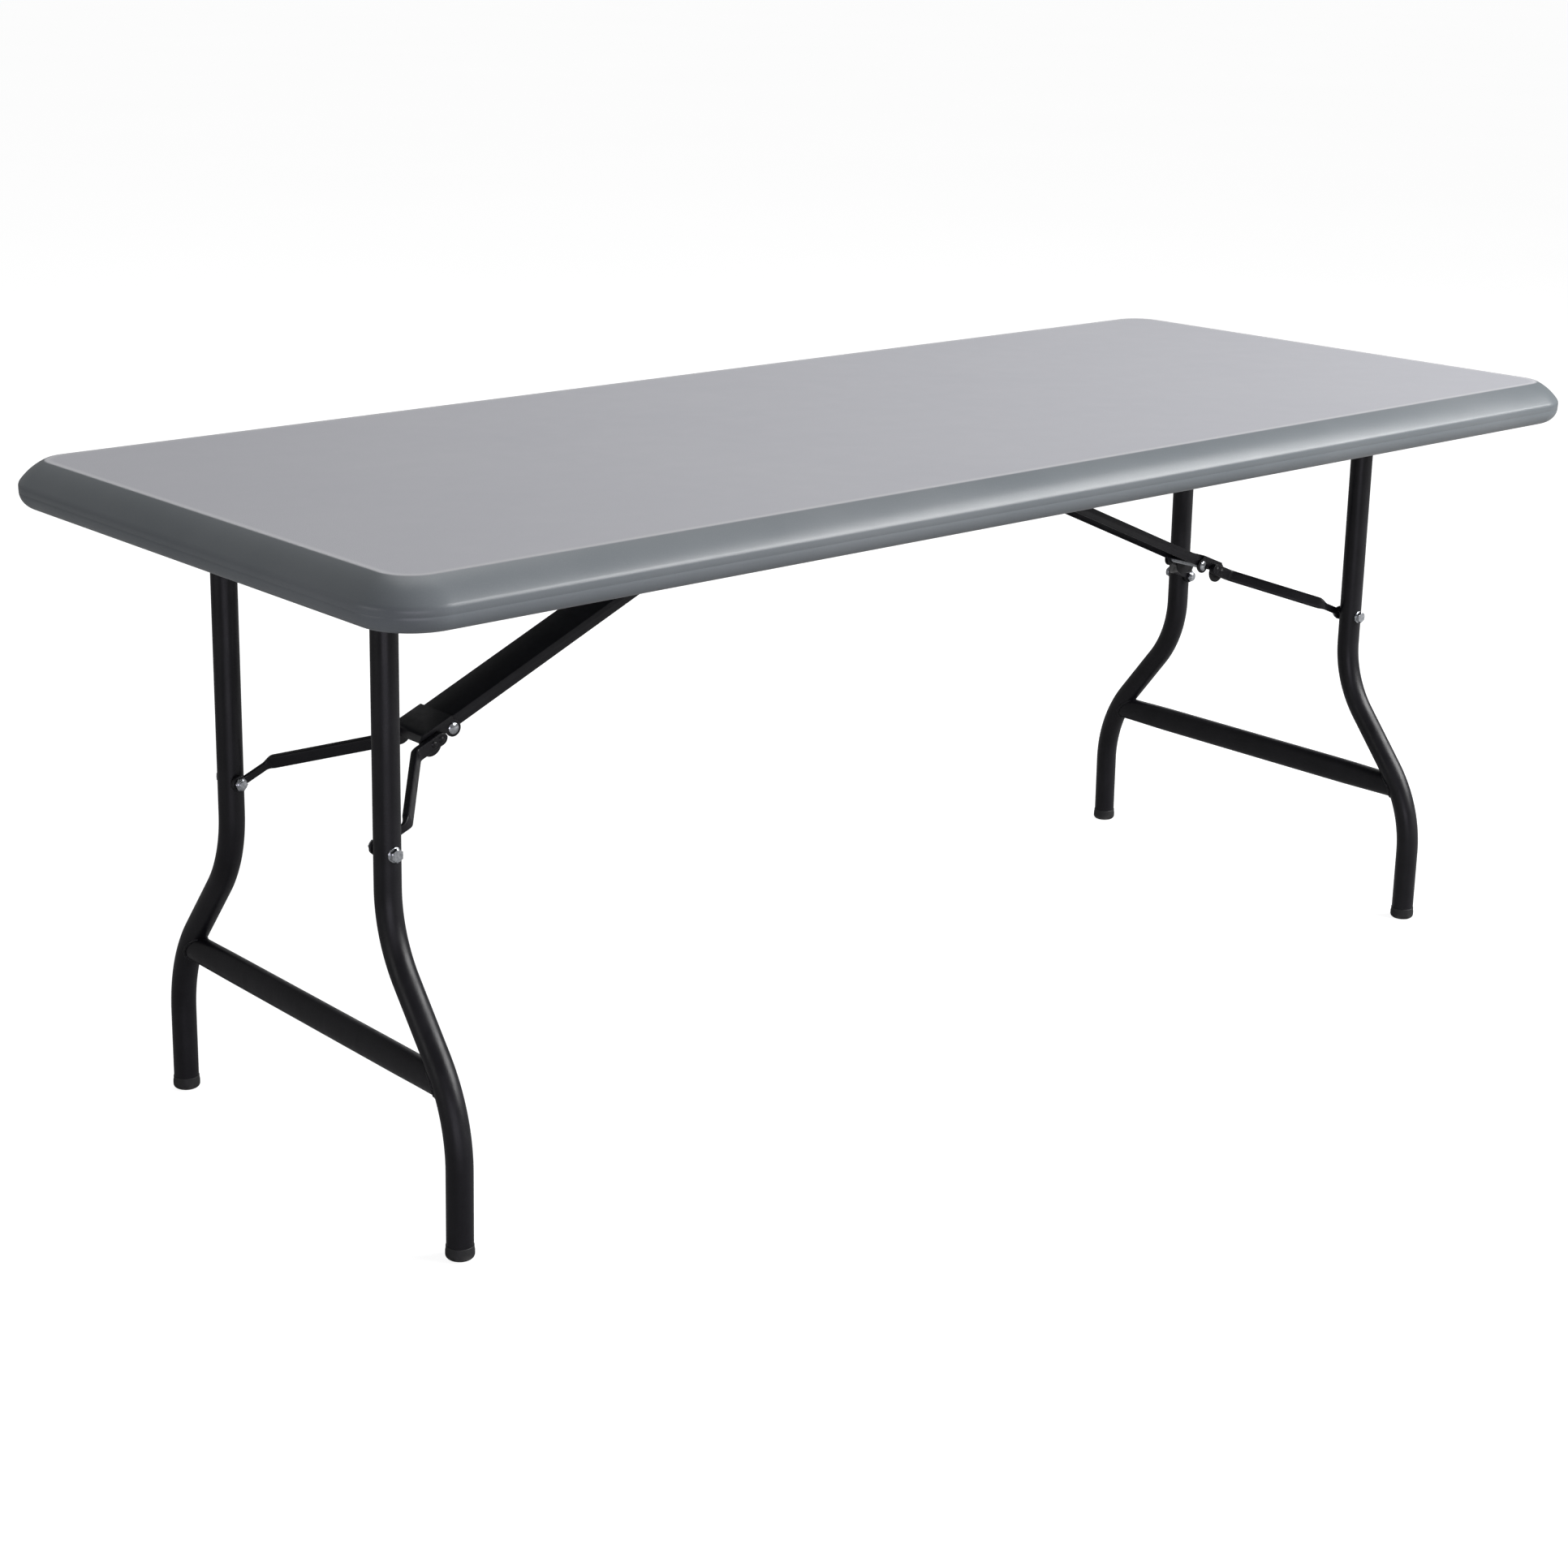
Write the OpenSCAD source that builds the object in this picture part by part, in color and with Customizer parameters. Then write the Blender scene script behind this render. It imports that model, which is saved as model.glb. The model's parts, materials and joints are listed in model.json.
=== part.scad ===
// Folding table: hollow moulded top, two folding leg frames, two knee-jointed braces.
// Millimetres, +Z up. The origin is on the floor, under the middle of the table.
// +X runs along the length, +Y across the width.

/* [Table top] */
// Overall length of the top
table_length = 1829; // [1815:1:1870]
// Overall width of the top
table_width = 762; // [750:1:800]
// Height of the top surface above the floor
table_height = 736.6; // [730:0.1:745]
// Plan radius of the top's corners
corner_radius = 66; // [60:1:90]
// Height of the rim, top surface to lip
rim_depth = 50; // [48:0.5:54]
// Width of the sloping edge around the flat
bevel_width = 29; // [26:0.5:32]
// Slope of that edge where it leaves the flat, degrees
bevel_start = 24; // [20:0.5:28]
// Slope of that edge where it meets the nose, degrees
bevel_end = 52; // [48:0.5:56]
// Wall thickness of the moulding
skin = 3.2; // [2.8:0.1:3.6]
// Thickness of the hollow panel between the rims
panel_thickness = 21; // [20.5:0.1:21.5]

/* [Leg frames] */
// Outside diameter of the leg tube
tube_diameter = 28.6; // [28.2:0.1:28.8]
// Wall thickness of the leg tube
tube_wall = 1.2; // [1:0.1:1.6]
// Outward lean of the legs, degrees
leg_tilt = 1.2; // [1.1:0.05:1.4]
// Distance of the feet in from the ends of the top
foot_inset = 126.5; // [124:0.5:130]
// Depth of the leg pivot below the top surface
pivot_drop = 38.6; // [38.4:0.1:39]
// Half the spacing of the legs above the bend
upper_spread = 152; // [150:0.5:156]
// Half the spacing of the feet
foot_spread = 275; // [268:1:277]
// Height of the upper bend's corner
upper_bend_height = 313; // [300:1:320]
// Height of the lower bend's corner
lower_bend_height = 157; // [150:1:165]
// Centre-line radius of the upper bend
upper_bend_radius = 150; // [120:5:170]
// Centre-line radius of the lower bend
lower_bend_radius = 180; // [150:5:190]
// Height of the crossbar between the legs
crossbar_height = 182; // [175:1:200]
// Depth of the crossbar's oval section
crossbar_depth = 34; // [32:0.5:35]
// Thickness of that section
crossbar_thickness = 20; // [19:0.5:21]

/* [Braces] */
// Height of the bolts that hold the brace to the legs
bolt_height = 403; // [401:0.5:405]
// Distance from those bolts in to the knee
yoke_run = 168.5; // [168:0.1:169.5]
// Height of the knee above those bolts
yoke_rise = 69.5; // [69:0.1:70]
// Depth of the folded brace's pin line below the top surface
pin_line_drop = 24.6; // [24.4:0.1:24.8]
// Outside width of the brace channel
channel_width = 54; // [52:0.5:54]
// Height of the brace channel
channel_depth = 13.5; // [12.5:0.5:13.5]
// Thickness of the pressed steel
sheet = 2; // [1.8:0.1:2]
// Thickness of the bars that make the yoke's arms
arm_thickness = 8; // [7:0.5:8]
// Height of those bars
arm_height = 15; // [14:0.5:15]

/* [Hidden] */
$fn = 48;
cut = 1;                                  // overshoot of a cutting shape
play = 0.1;                               // radial gap of a fixed pin in its hole
run = 0.05;                               // radial gap of a turning pin in its hole
gap = 0.3;                                // smallest gap between bodies that pass

// Colours
grey = [0.68, 0.68, 0.70];
black = [0.05, 0.05, 0.06];
bright = [0.78, 0.79, 0.81];
nylon = [0.85, 0.85, 0.82];

// Rim section, measured outwards from the corner's centre
nose_radius = 9;
lip_radius = 18;
lip_inset = 26;                           // rim's inside face at the lip
recess_inset = 30;                        // rim's inside face at the panel
bevel_radius = (bevel_width - nose_radius * (1 - sin(bevel_end))) / (sin(bevel_end) - sin(bevel_start));
nose_z = table_height - bevel_radius * (cos(bevel_start) - cos(bevel_end)) - nose_radius * cos(bevel_end);
lip_z = table_height - rim_depth;
panel_z = table_height - panel_thickness;

// Leg frame: turning axis, lengths down the leg from it
half_length = table_length / 2;
foot_x = half_length - foot_inset;
pivot_z = table_height - pivot_drop;
pivot_x = foot_x - pivot_z * tan(leg_tilt);
leg_length = pivot_z / cos(leg_tilt);
bolt_length = (pivot_z - bolt_height) / cos(leg_tilt);
crossbar_length = (pivot_z - crossbar_height) / cos(leg_tilt);
upper_bend_length = (pivot_z - upper_bend_height) / cos(leg_tilt);
lower_bend_length = (pivot_z - lower_bend_height) / cos(leg_tilt);
bend_angle = atan2(foot_spread - upper_spread, lower_bend_length - upper_bend_length);
first_bend = upper_bend_length - upper_bend_radius * tan(bend_angle / 2);
last_bend = lower_bend_length + lower_bend_radius * tan(bend_angle / 2);
crossbar_half = foot_spread - lower_bend_radius
    * (1 - sqrt(1 - pow((last_bend - crossbar_length) / lower_bend_radius, 2)));
tube_radius = tube_diameter / 2;
bend_swell = 0.1;                         // a bent stretch is this much fatter
bend_overlap = 1;                         // a straight stretch's reach into a bend

// Foot cap
cap_radius = tube_radius + 1.1;
cap_height = 15;
cap_base = 6;
cap_edge = 5;

// Brace linkage, right-hand side. The brace is straight when the leg is open.
// With the leg folded flat the channel lies level, which fixes its top pivot.
bolt_x = pivot_x + bolt_length * sin(leg_tilt);
knee_x = bolt_x - yoke_run;
knee_z = bolt_height + yoke_rise;
yoke_length = sqrt(pow(yoke_run, 2) + pow(yoke_rise, 2));
yoke_dip = atan2(yoke_rise, yoke_run);
pin_line_z = table_height - pin_line_drop;
folded_bolt_x = pivot_x - bolt_length;
folded_knee_x = folded_bolt_x + sqrt(pow(yoke_length, 2) - pow(pin_line_z - pivot_z, 2));
brace_x = (pow(folded_knee_x, 2) - pow(knee_x, 2) - pow(pin_line_z - knee_z, 2))
    / (2 * (folded_knee_x - knee_x));
channel_length = folded_knee_x - brace_x;
channel_dip = atan2(pin_line_z - knee_z, knee_x - brace_x);

// Brace channel and yoke
channel_bottom = -2.2;                    // channel's lower edge, from its pin line
channel_top = channel_bottom + channel_depth;
channel_ear = 8;
pin_radius = 4;
pin_head_radius = 6.5;
pin_head = 2.4;
yoke_inside = channel_width / 2 + 0.6;
yoke_outside = yoke_inside + sheet;
yoke_web_z = channel_top + 0.5;
yoke_top = yoke_web_z + sheet;
yoke_back = 4;                            // yoke plate's reach behind the knee
yoke_front = 38;                          // and in front of it
yoke_apron_z = 0.8;                       // lower edge of the plate across its front
knee_lobe = 9.5;
front_lobe = 14;
lobe_spacing = 32;

// Yoke arms
arm_rise = 1.5;
arm_elbow = arm_thickness / 2 + 0.2;      // radius of the bends
arm_tab_start = 14;
arm_tab_height = arm_height - 0.4;
arm_bend = 55;                            // distance of the first bend from the knee
arm_inner_face = yoke_outside + 0.2;
arm_outer_face = upper_spread - tube_radius - 1.8;
arm_end = 4.5;                            // thickness of the thinned end
arm_neck = 9;                             // height of that end
arm_eye = 9;
arm_end_start = 140;                      // distance of the second bend from the knee
arm_rivets = [22, 32];                    // distances from the knee
arm_rivet_radius = 2.5;
arm_rivet_head = 1.6;
arm_rivet_head_radius = 4.2;

// Bolts between legs and arms
bolt_radius = 4;
bolt_across = 13;                         // hexagon, across flats
bolt_head = 5.2;
nut_height = 6.4;

// Groove in the underside that takes the folded braces
groove_half_width = 43;
groove_z = table_height - 11;
groove_half_length = folded_knee_x + 26;

// Tack-off cups moulded into the panel
cup_radius = 13;
cup_pitch = 175;
cup_rows = [110, 215];

// Side rails
rail_y = 297;
rail_web_height = 25;
rail_flange = 26;
rail_half_length = 850;
rail_ear = 20;
rail_screws = [180, 520, 840];

// Bushes in the rails
bush_radius = 15.3;
bush_flange = 17;
bush_length = 5.6;
pivot_tube_half = 303;

// Centre crossmember and the clevises on it
member_half_width = 30;
member_depth = 13;
member_screws = [80, 260];
clevis_y = channel_width / 2 + 1.5;
clevis_eye = 9;
clevis_rivet_y = 12;
clevis_rivet_z = panel_z - 7;
clevis_rivet_radius = 2.5;
clevis_rivet_head = 1.8;
clevis_rivet_head_radius = 4.5;
clevis_gap = 0.2;

// Screws into the panel
screw_radius = 2.3;
screw_head_radius = 5;
screw_head = 2.4;
screw_length = 12;

// ---- placing ----

// The right-hand shape, or its mirror image on the left
module side(s) {
    if (s > 0) children();
    else mirror([1, 0, 0]) children();
}

// The back shape, or its mirror image at the front
module edge(e) {
    if (e > 0) children();
    else mirror([0, 1, 0]) children();
}

// Origin on the leg's turning axis, -Z down the leg
module on_leg() {
    translate([pivot_x, 0, pivot_z]) rotate([0, -leg_tilt, 0]) children();
}

// Origin on the brace's top pivot, +X towards the knee
module on_channel() {
    translate([brace_x, 0, pin_line_z]) rotate([0, channel_dip, 0]) children();
}

// Origin on the knee, +X towards the leg bolts
module on_yoke() {
    translate([knee_x, 0, knee_z]) rotate([0, yoke_dip, 0]) children();
}

// A cylinder along Y from y0 to y1
module bar_y(r, y0, y1) {
    translate([0, y0, 0]) rotate([-90, 0, 0]) cylinder(r = r, h = y1 - y0);
}

// A flat shape drawn in X and Z, with thickness from y0 to y1
module plate_y(y0, y1) {
    translate([0, y1, 0]) rotate([90, 0, 0]) linear_extrude(y1 - y0) children();
}

// A hexagonal prism along Y from y0 to y1
module hex_y(across, y0, y1) {
    translate([0, y0, 0]) rotate([-90, 0, 0]) cylinder(d = across / cos(30), h = y1 - y0, $fn = 6);
}

// ---- table top ----

// A wall's outline, a depth d inside the moulding's outer face
module rim_section(d) {
    r = corner_radius;
    nose = nose_radius - d;
    lip = lip_radius - d;
    bevel = bevel_radius - d;
    nose_x = r - nose_radius;
    lip_x = r - lip_radius;
    bevel_x = r - bevel_width - bevel_radius * sin(bevel_start);
    bevel_z = table_height - bevel_radius * cos(bevel_start);
    flat_x = bevel_x + sqrt(pow(bevel, 2) - pow(table_height - d - bevel_z, 2));
    nose_start = [nose_x + nose * sin(bevel_end), nose_z + nose * cos(bevel_end)];
    union() {
        polygon([
            [0, panel_z + d],
            [0, table_height - d],
            [flat_x, table_height - d],
            nose_start,
            [r - d, nose_z],
            [r - d, lip_z + lip_radius],
            [lip_x, lip_z + d],
            [r - lip_inset + d, lip_z + d],
            [r - recess_inset + d, panel_z + d]
        ]);
        intersection() {
            translate([bevel_x, bevel_z]) circle(r = bevel);
            polygon([
                [flat_x, panel_z + d],
                [flat_x, table_height - d],
                [nose_start[0], table_height - d],
                nose_start,
                [nose_start[0], panel_z + d]
            ]);
        }
        translate([nose_x, nose_z]) circle(r = nose);
        intersection() {
            translate([lip_x, lip_z + lip_radius]) circle(r = lip);
            translate([lip_x, lip_z]) square([lip_radius, lip_radius]);
        }
    }
}

// A section carried round the rounded rectangle, its middle filled to a depth d
module table_body(d) {
    x = half_length - corner_radius;
    y = table_width / 2 - corner_radius;
    translate([-x, -y, panel_z + d]) cube([2 * x, 2 * y, panel_thickness - 2 * d]);
    for (turn = [0, 180]) rotate(turn) {
        translate([x, 0, 0]) rotate([90, 0, 0]) linear_extrude(2 * y, center = true) rim_section(d);
        rotate(90) translate([y, 0, 0]) rotate([90, 0, 0])
            linear_extrude(2 * x, center = true) rim_section(d);
        translate([x, y, 0]) rotate_extrude(angle = 90) rim_section(d);
        translate([-x, y, 0]) rotate(90) rotate_extrude(angle = 90) rim_section(d);
    }
}

// The brace groove, grown by d
module groove(d) {
    x = groove_half_length + d;
    y = groove_half_width + d;
    translate([-x, -y, panel_z - cut]) cube([2 * x, 2 * y, groove_z + d - panel_z + cut]);
}

// The tack-off cups, grown by d
module cups(d) {
    for (i = [-4:4], row = cup_rows, e = [-1, 1])
        translate([i * cup_pitch, e * row, panel_z - cut])
            cylinder(r = cup_radius + d, h = panel_thickness - 2 * skin + d + cut);
}

module table_top() {
    color(grey) difference() {
        table_body(0);
        difference() {
            table_body(skin);
            groove(skin);
            cups(skin);
        }
        groove(0);
        cups(0);
        for (p = screw_places()) translate([p[0], p[1], panel_z - cut])
            cylinder(r = screw_radius + play, h = skin + 2 * cut);
        translate([cup_pitch / 2, -cup_rows[0], panel_z - cut]) cylinder(r = 3, h = skin + 2 * cut);
    }
}

// ---- fixed steelwork under the top ----

function screw_places() = concat(
    [for (x = rail_screws, s = [-1, 1], e = [-1, 1]) [s * x, e * (rail_y + 15)]],
    [for (y = member_screws, e = [-1, 1]) [0, e * y]]
);

module side_rail(e) {
    color(black) edge(e) difference() {
        union() {
            plate_y(rail_y, rail_y + sheet) difference() {
                union() {
                    translate([-rail_half_length, panel_z - rail_web_height])
                        square([2 * rail_half_length, rail_web_height]);
                    for (s = [-1, 1]) translate([s * pivot_x, pivot_z]) circle(r = rail_ear);
                }
                translate([-rail_half_length, panel_z]) square([2 * rail_half_length, rail_ear]);
            }
            translate([-rail_half_length, rail_y, panel_z - sheet])
                cube([2 * rail_half_length, rail_flange, sheet]);
        }
        for (s = [-1, 1]) translate([s * pivot_x, 0, pivot_z])
            bar_y(bush_radius + play, rail_y - cut, rail_y + sheet + cut);
        for (x = rail_screws, s = [-1, 1]) translate([s * x, rail_y + 15, panel_z - sheet - cut])
            cylinder(r = screw_radius + play, h = sheet + 2 * cut);
    }
}

module pivot_bushes() {
    color(nylon) for (s = [-1, 1], e = [-1, 1]) edge(e)
        translate([s * pivot_x, 0, pivot_z]) difference() {
            union() {
                bar_y(bush_radius, rail_y - play, rail_y - play + bush_length);
                bar_y(bush_flange, rail_y - play - 1.6, rail_y - play);
            }
            bar_y(tube_radius + run, rail_y - 4, rail_y + bush_length + cut);
        }
}

module centre_crossmember() {
    w = member_half_width;
    y = rail_y - gap;
    color(black) difference() {
        translate([-w, -y, panel_z - member_depth]) cube([2 * w, 2 * y, member_depth]);
        translate([sheet - w, -y - cut, panel_z - member_depth - cut])
            cube([2 * (w - sheet), 2 * (y + cut), member_depth - sheet + cut]);
        for (y = member_screws, e = [-1, 1]) translate([0, e * y, panel_z - sheet - cut])
            cylinder(r = screw_radius + play, h = sheet + 2 * cut);
        for (e = [-1, 1]) translate([-w - cut, e * clevis_rivet_y, clevis_rivet_z]) rotate([0, 90, 0])
            cylinder(r = clevis_rivet_radius + play, h = 2 * (w + cut));
    }
}

module brace_clevis(s) {
    x = member_half_width + clevis_gap;
    bottom = pin_line_z - clevis_eye;
    top = pin_line_z + clevis_eye;
    color(black) side(s) difference() {
        union() {
            translate([x, -clevis_y - sheet, bottom]) cube([sheet, 2 * (clevis_y + sheet), top - bottom]);
            for (e = [-1, 1]) edge(e) plate_y(clevis_y, clevis_y + sheet) {
                translate([x, bottom]) square([brace_x - x, top - bottom]);
                translate([brace_x, pin_line_z]) circle(r = clevis_eye);
            }
        }
        translate([brace_x, 0, pin_line_z])
            bar_y(pin_radius + play, -clevis_y - sheet - cut, clevis_y + sheet + cut);
        for (e = [-1, 1]) translate([x - cut, e * clevis_rivet_y, clevis_rivet_z]) rotate([0, 90, 0])
            cylinder(r = clevis_rivet_radius + play, h = sheet + 2 * cut);
    }
}

module clevis_rivets() {
    inner = member_half_width - sheet;
    outer = member_half_width + clevis_gap + sheet;
    color(bright) for (s = [-1, 1], e = [-1, 1]) side(s)
        translate([0, e * clevis_rivet_y, clevis_rivet_z]) rotate([0, 90, 0]) {
            translate([0, 0, inner]) cylinder(r = clevis_rivet_radius, h = outer - inner);
            translate([0, 0, outer]) cylinder(r = clevis_rivet_head_radius, h = clevis_rivet_head);
            translate([0, 0, inner - clevis_rivet_head])
                cylinder(r = clevis_rivet_head_radius, h = clevis_rivet_head);
        }
}

// A pin along Y with a flat head at each end, seated on faces at +-y
module headed_pin(y) {
    bar_y(pin_radius, -y, y);
    for (e = [-1, 1]) edge(e) bar_y(pin_head_radius, y, y + pin_head);
}

module brace_pin(s) {
    color(bright) side(s) translate([brace_x, 0, pin_line_z]) headed_pin(clevis_y + sheet);
}

module panel_screws() {
    color(bright) for (p = screw_places()) translate([p[0], p[1], panel_z - sheet]) {
        cylinder(r = screw_radius, h = screw_length);
        translate([0, 0, -screw_head]) cylinder(r = screw_head_radius, h = screw_head);
    }
}

// ---- leg frame ----

// A bent rod of radius r down the back leg's centre line
module leg_rod(r, length) {
    y1 = upper_spread + upper_bend_radius * (1 - cos(bend_angle));
    z1 = first_bend + upper_bend_radius * sin(bend_angle);
    y2 = foot_spread - lower_bend_radius * (1 - cos(bend_angle));
    z2 = last_bend - lower_bend_radius * sin(bend_angle);
    slope = sqrt(pow(y2 - y1, 2) + pow(z2 - z1, 2));
    translate([0, upper_spread, -first_bend - bend_overlap]) cylinder(r = r, h = first_bend + bend_overlap);
    translate([0, upper_spread + upper_bend_radius, -first_bend]) rotate([90, 0, 90]) rotate(180)
        rotate_extrude(angle = bend_angle) translate([upper_bend_radius, 0]) circle(r = r + bend_swell);
    translate([0, y2, -z2]) rotate([bend_angle, 0, 0])
        translate([0, 0, -bend_overlap]) cylinder(r = r, h = slope + 2 * bend_overlap);
    translate([0, foot_spread - lower_bend_radius, -last_bend]) rotate([90, 0, 90])
        rotate_extrude(angle = bend_angle) translate([lower_bend_radius, 0]) circle(r = r + bend_swell);
    translate([0, foot_spread, -length]) cylinder(r = r, h = length - last_bend + bend_overlap);
}

module leg(s, e) {
    color(black) side(s) edge(e) on_leg() difference() {
        leg_rod(tube_radius, leg_length - cap_base);
        leg_rod(tube_radius - tube_wall, leg_length);
        bar_y(tube_radius, upper_spread - 2 * tube_radius, upper_spread + 2 * tube_radius);
        translate([0, 0, -bolt_length])
            bar_y(bolt_radius + play, upper_spread - 2 * tube_radius, upper_spread + 2 * tube_radius);
    }
}

module pivot_tube(s) {
    color(black) side(s) on_leg() difference() {
        bar_y(tube_radius, -pivot_tube_half, pivot_tube_half);
        bar_y(tube_radius - tube_wall, -pivot_tube_half - cut, pivot_tube_half + cut);
    }
}

// The crossbar's oval outline, in X and Z, a depth d inside its surface
module crossbar_outline(d) {
    r = crossbar_thickness / 2;
    rise = crossbar_depth / 2 - r;
    for (z = [-rise, rise]) translate([0, z]) circle(r = r - d);
    translate([d - r, -rise]) square([2 * (r - d), 2 * rise]);
}

module crossbar(s) {
    color(black) side(s) on_leg() difference() {
        translate([0, 0, -crossbar_length]) difference() {
            plate_y(-crossbar_half, crossbar_half) crossbar_outline(0);
            plate_y(-foot_spread, foot_spread) crossbar_outline(tube_wall);
        }
        for (e = [-1, 1]) edge(e) leg_rod(tube_radius, leg_length);
    }
}

module foot_cap(s, e) {
    color(black) side(s) edge(e) difference() {
        on_leg() translate([0, foot_spread, -leg_length - 0.4]) difference() {
            rotate_extrude() {
                translate([0, cap_edge]) square([cap_radius, cap_height - cap_edge]);
                square([cap_radius - cap_edge, cap_edge]);
                intersection() {
                    translate([cap_radius - cap_edge, cap_edge]) circle(r = cap_edge);
                    square([cap_radius, cap_edge]);
                }
            }
            translate([0, 0, cap_base + 0.4]) cylinder(r = tube_radius + play, h = cap_height);
        }
        translate([0, 0, -10]) cube([2 * table_length, 2 * table_width, 20], center = true);
    }
}

module leg_bolts(s) {
    color(bright) side(s) for (e = [-1, 1]) edge(e) on_leg() translate([0, 0, -bolt_length]) {
        bar_y(bolt_radius, upper_spread - tube_radius + gap, upper_spread + tube_radius);
        hex_y(bolt_across, upper_spread + tube_radius, upper_spread + tube_radius + bolt_head);
    }
}

// ---- brace ----

module brace_channel(s) {
    half = channel_width / 2;
    color(black) side(s) on_channel() difference() {
        union() {
            translate([0, -half, channel_top - sheet]) cube([channel_length, channel_width, sheet]);
            for (e = [-1, 1]) edge(e) plate_y(half - sheet, half) {
                translate([0, channel_bottom]) square([channel_length, channel_depth]);
                circle(r = channel_ear);
                translate([channel_length, 0]) circle(r = channel_ear);
            }
        }
        for (x = [0, channel_length]) translate([x, 0, 0]) bar_y(pin_radius + run, -half - cut, half + cut);
    }
}

module yoke_plate(s) {
    color(black) side(s) on_yoke() difference() {
        union() {
            translate([-yoke_back, -yoke_outside, yoke_web_z])
                cube([yoke_back + yoke_front, 2 * yoke_outside, sheet]);
            for (e = [-1, 1]) edge(e) plate_y(yoke_inside, yoke_outside) {
                translate([-yoke_back, 0]) square([yoke_back + yoke_front, yoke_top]);
                circle(r = knee_lobe);
                translate([lobe_spacing, 0]) circle(r = front_lobe);
            }
            translate([yoke_front - sheet, -yoke_inside - sheet / 2, yoke_apron_z])
                cube([sheet, 2 * yoke_inside + sheet, yoke_web_z + sheet / 2 - yoke_apron_z]);
        }
        bar_y(pin_radius + play, -yoke_outside - cut, yoke_outside + cut);
        for (x = arm_rivets) translate([x, 0, arm_rise])
            bar_y(arm_rivet_radius + play, -yoke_outside - cut, yoke_outside + cut);
    }
}

module knee_pin(s) {
    color(bright) side(s) on_yoke() headed_pin(yoke_outside);
}

// A bar bent outwards between two upright bends, seen from above
module arm_plan(start_y, end_y) {
    reach = arm_end_start - arm_bend;
    spread = end_y - start_y;
    translate([arm_bend, start_y]) {
        circle(r = arm_elbow);
        rotate(atan2(spread, reach)) translate([0, -arm_thickness / 2])
            square([sqrt(pow(spread, 2) + pow(reach, 2)), arm_thickness]);
    }
    translate([arm_end_start, end_y]) circle(r = arm_elbow);
}

// Riveted tab, bent bar, and a thinned end with the bolt's eye
module yoke_arm(s, e) {
    tab_radius = arm_tab_height / 2;
    color(black) side(s) edge(e) on_yoke() difference() {
        union() {
            plate_y(arm_inner_face, arm_inner_face + arm_thickness) {
                translate([arm_tab_start + tab_radius, arm_rise]) circle(r = tab_radius);
                translate([arm_tab_start + tab_radius, arm_rise - tab_radius])
                    square([arm_bend - arm_tab_start - tab_radius, arm_tab_height]);
            }
            translate([0, 0, arm_rise - arm_height / 2]) linear_extrude(arm_height)
                arm_plan(arm_inner_face + arm_elbow + 0.1, arm_outer_face - arm_elbow - 0.1);
            plate_y(arm_outer_face - arm_end, arm_outer_face) {
                translate([arm_end_start, -arm_neck / 2]) square([yoke_length - arm_end_start, arm_neck]);
                translate([yoke_length, 0]) circle(r = arm_eye);
            }
        }
        for (x = arm_rivets) translate([x, 0, arm_rise])
            bar_y(arm_rivet_radius + play, 0, arm_inner_face + arm_thickness + cut);
        translate([yoke_length, 0, 0])
            bar_y(bolt_radius + play, arm_outer_face - arm_end - cut, upper_spread);
    }
}

module rivets(s) {
    head_y = arm_inner_face + arm_thickness;
    color(black) side(s) on_yoke() for (e = [-1, 1], x = arm_rivets) edge(e)
        translate([x, 0, arm_rise]) {
            bar_y(arm_rivet_radius, yoke_inside, head_y);
            bar_y(arm_rivet_head_radius, head_y, head_y + arm_rivet_head);
        }
}

module arm_nuts(s) {
    seat = arm_outer_face - arm_end;
    color(bright) side(s) on_yoke() for (e = [-1, 1]) edge(e) translate([yoke_length, 0, 0]) {
        hex_y(bolt_across, seat - nut_height, seat);
        bar_y(bolt_radius, seat, arm_outer_face);
    }
}

table_top();
side_rail(-1);  // side_rail_front
side_rail(1);  // side_rail_back
centre_crossmember();
brace_clevis(-1);  // brace_clevis_left
brace_clevis(1);  // brace_clevis_right
clevis_rivets();
brace_pin(-1);  // brace_pin_left
brace_pin(1);  // brace_pin_right
pivot_bushes();
panel_screws();
leg(-1, -1);  // leg_left_front
leg(-1, 1);  // leg_left_back
pivot_tube(-1);  // pivot_tube_left
crossbar(-1);  // crossbar_left
foot_cap(-1, -1);  // foot_cap_left_front
foot_cap(-1, 1);  // foot_cap_left_back
leg_bolts(-1);  // leg_bolts_left
leg(1, -1);  // leg_right_front
leg(1, 1);  // leg_right_back
pivot_tube(1);  // pivot_tube_right
crossbar(1);  // crossbar_right
foot_cap(1, -1);  // foot_cap_right_front
foot_cap(1, 1);  // foot_cap_right_back
leg_bolts(1);  // leg_bolts_right
brace_channel(-1);  // brace_channel_left
brace_channel(1);  // brace_channel_right
yoke_plate(-1);  // yoke_plate_left
yoke_plate(1);  // yoke_plate_right
yoke_arm(-1, -1);  // yoke_arm_left_front
yoke_arm(-1, 1);  // yoke_arm_left_back
yoke_arm(1, -1);  // yoke_arm_right_front
yoke_arm(1, 1);  // yoke_arm_right_back
knee_pin(-1);  // knee_pin_left
knee_pin(1);  // knee_pin_right
rivets(-1);  // arm_rivets_left
rivets(1);  // arm_rivets_right
arm_nuts(-1);  // arm_nuts_left
arm_nuts(1);  // arm_nuts_right
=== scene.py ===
"""Looks of the folding table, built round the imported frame. Metres, +Z up, +X along the length."""

import json
import math

import bmesh
import bpy
from mathutils import Matrix, Vector


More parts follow.
